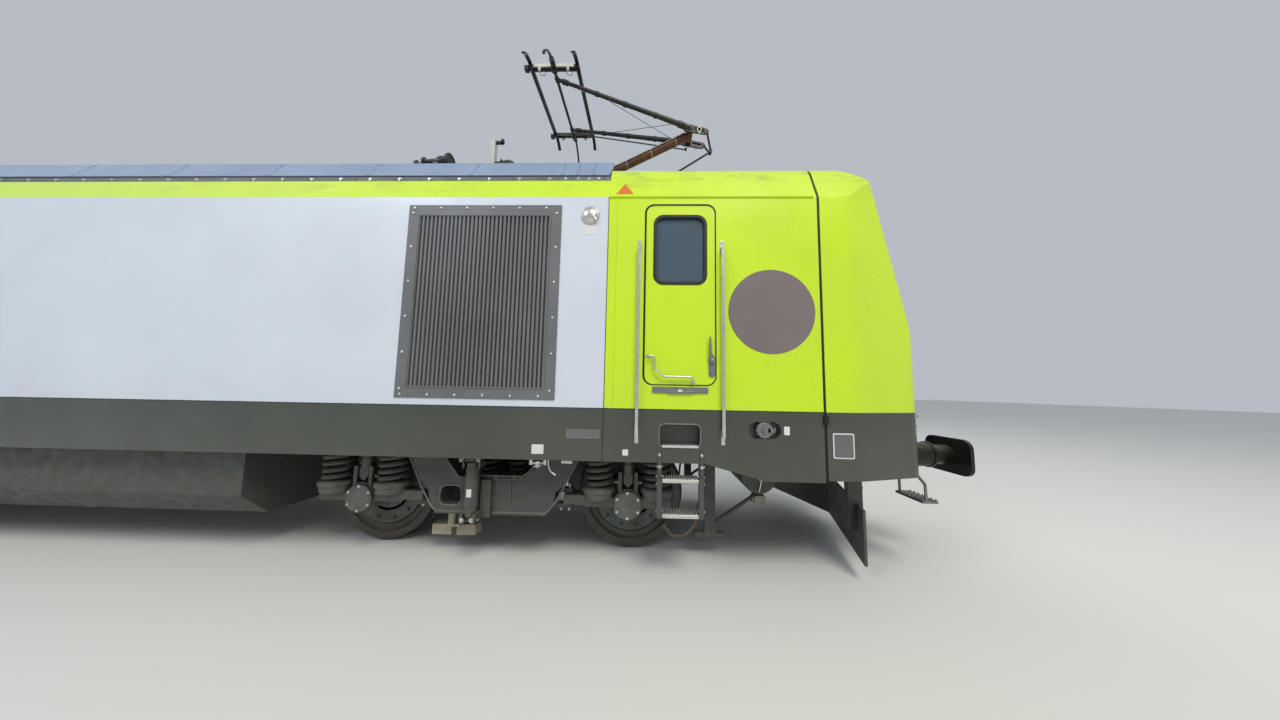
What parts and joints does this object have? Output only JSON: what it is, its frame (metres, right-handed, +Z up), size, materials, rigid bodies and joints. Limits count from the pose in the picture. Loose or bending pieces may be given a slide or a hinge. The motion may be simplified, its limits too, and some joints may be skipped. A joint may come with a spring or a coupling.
{
  "type": "dual-mode electric locomotive",
  "caption": "Two-cab electric locomotive on two four-wheel bogies, with hinged cab doors, side grilles, step ladders, buffers and a folding single-arm pantograph.",
  "frame": {"origin": "centre of the overall box's bottom, at the wheel flanges' tips", "axes": "+X along the locomotive towards the first cab, +Y across it to the left, +Z up"},
  "size_m": [19.975, 3.104, 5.9967],
  "materials": {
    "lime_enamel": "semi-gloss enamel",
    "window_glass": "tinted safety glass",
    "white_enamel": "semi-gloss enamel",
    "sill_enamel": "satin enamel",
    "grille_alloy": "powder coat",
    "fairing_enamel": "satin enamel",
    "roof_enamel": "matt enamel",
    "seal_rubber": "moulded rubber",
    "lamp_lens": "clear lens",
    "interior_panel": "grained moulding",
    "floor_rubber": "studded sheet",
    "seat_cloth": "woven cloth",
    "underframe_enamel": "matt enamel",
    "axle_box_casting": "painted casting",
    "spring_steel": "painted coil",
    "damper_enamel": "satin enamel",
    "wheel_steel": "forged and turned",
    "rail_stainless": "brushed",
    "buffer_steel": "greased steel",
    "machine_enamel": "matt enamel",
    "insulator_glaze": "moulded silicone",
    "horn_enamel": "satin enamel",
    "post_enamel": "satin enamel",
    "magnet_plastic": "moulded housing",
    "pantograph_enamel": "oxide red enamel",
    "pantograph_alloy": "weathered alloy"
  },
  "bodies": {
    "carbody": {"aprons": "sill_enamel", "buffers": "buffer_steel", "bulkheads": "interior_panel", "cab_floors": "floor_rubber", "cab_shell_a": "lime_enamel", "cab_shell_b": "lime_enamel", "cantrails": "lime_enamel", "desks": "interior_panel", "draw_hooks": "buffer_steel", "fairings": "fairing_enamel", "grilles": "grille_alloy", "handrails": "rail_stainless", "horns": "horn_enamel", "insulators": "insulator_glaze", "ladders": "underframe_enamel", "lamps": "lamp_lens", "nose_a": "lime_enamel", "nose_b": "lime_enamel", "pantograph_base": "pantograph_enamel", "ploughs": "underframe_enamel", "power_pack": "machine_enamel", "rod_post": "post_enamel", "roof_deck": "roof_enamel", "roof_fans": "roof_enamel", "roof_hatches": "roof_enamel", "seams": "seal_rubber", "seats": "seat_cloth", "side_sills": "sill_enamel", "side_walls": "white_enamel", "underfloor_tank": "underframe_enamel", "underframe": "underframe_enamel", "windscreens": "window_glass"},
    "bogie_a": {"axle_boxes_a": "axle_box_casting", "bogie_frame_a": "underframe_enamel", "dampers_a": "damper_enamel", "magnets_a": "magnet_plastic", "motors_a": "underframe_enamel", "springs_a": "spring_steel"},
    "bogie_b": {"axle_boxes_b": "axle_box_casting", "bogie_frame_b": "underframe_enamel", "dampers_b": "damper_enamel", "magnets_b": "magnet_plastic", "motors_b": "underframe_enamel", "springs_b": "spring_steel"},
    "door_a_left": {"door_a_left_leaf": "lime_enamel", "door_a_left_pane": "window_glass"},
    "door_a_right": {"door_a_right_leaf": "lime_enamel", "door_a_right_pane": "window_glass"},
    "door_b_left": {"door_b_left_leaf": "lime_enamel", "door_b_left_pane": "window_glass"},
    "door_b_right": {"door_b_right_leaf": "lime_enamel", "door_b_right_pane": "window_glass"},
    "lower_arm": {"lower_arm": "pantograph_enamel"},
    "pantograph_head": {"pantograph_head": "pantograph_alloy"},
    "steering_rod": {"steering_rod": "pantograph_alloy"},
    "upper_arm": {"upper_arm": "pantograph_alloy"},
    "wheelset_1": {"wheelset_1": "wheel_steel"},
    "wheelset_2": {"wheelset_2": "wheel_steel"},
    "wheelset_3": {"wheelset_3": "wheel_steel"},
    "wheelset_4": {"wheelset_4": "wheel_steel"}
  },
  "joints": [
    {"name": "bogie_a_yaw", "type": "hinge", "parent": "carbody", "child": "bogie_a", "pos_m": [5.25, 0, 1], "axis": [0, 0, 1], "range_deg": [-3, 3]},
    {"name": "bogie_b_yaw", "type": "hinge", "parent": "carbody", "child": "bogie_b", "pos_m": [-5.25, 0, 1], "axis": [0, 0, 1], "range_deg": [-3, 3]},
    {"name": "wheelset_1_roll", "type": "hinge", "parent": "bogie_a", "child": "wheelset_1", "pos_m": [6.6, 0, 0.58], "axis": [0, 1, 0], "continuous": true},
    {"name": "wheelset_2_roll", "type": "hinge", "parent": "bogie_a", "child": "wheelset_2", "pos_m": [3.9, 0, 0.58], "axis": [0, 1, 0], "continuous": true},
    {"name": "wheelset_3_roll", "type": "hinge", "parent": "bogie_b", "child": "wheelset_3", "pos_m": [-3.9, 0, 0.58], "axis": [0, 1, 0], "continuous": true},
    {"name": "wheelset_4_roll", "type": "hinge", "parent": "bogie_b", "child": "wheelset_4", "pos_m": [-6.6, 0, 0.58], "axis": [0, 1, 0], "continuous": true},
    {"name": "door_a_right_swing", "type": "hinge", "parent": "carbody", "child": "door_a_right", "pos_m": [6.75, -1.426, 2.621], "axis": [0, 0, 1], "range_deg": [0, 90]},
    {"name": "door_a_left_swing", "type": "hinge", "parent": "carbody", "child": "door_a_left", "pos_m": [6.75, 1.426, 2.621], "axis": [0, 0, -1], "range_deg": [0, 90]},
    {"name": "door_b_right_swing", "type": "hinge", "parent": "carbody", "child": "door_b_right", "pos_m": [-6.75, -1.426, 2.621], "axis": [0, 0, -1], "range_deg": [0, 90]},
    {"name": "door_b_left_swing", "type": "hinge", "parent": "carbody", "child": "door_b_left", "pos_m": [-6.75, 1.426, 2.621], "axis": [0, 0, 1], "range_deg": [0, 90]},
    {"name": "lower_arm_swing", "type": "hinge", "parent": "carbody", "child": "lower_arm", "pos_m": [5.5, 0, 4.53], "axis": [0, -1, 0], "range_deg": [-21.9, 15]},
    {"name": "upper_arm_swing", "type": "hinge", "parent": "lower_arm", "child": "upper_arm", "pos_m": [7.33086, 0, 5.45885], "axis": [0, -1, 0], "range_deg": [-22.5, 32.85]},
    {"name": "head_tilt", "type": "hinge", "parent": "upper_arm", "child": "pantograph_head", "pos_m": [5.47287, 0, 5.93486], "axis": [0, -1, 0], "range_deg": [-10.95, 7.5]},
    {"name": "steering_rod_swing", "type": "hinge", "parent": "carbody", "child": "steering_rod", "pos_m": [6.57, 0, 4.5], "axis": [0, -1, 0], "range_deg": [-32.85, 22.5]}
  ],
  "couplings": [
    {"joint": "upper_arm_swing", "follows": "lower_arm_swing", "ratio": -1.5},
    {"joint": "head_tilt", "follows": "lower_arm_swing", "ratio": 0.5},
    {"joint": "steering_rod_swing", "follows": "lower_arm_swing", "ratio": 1.5}
  ]
}
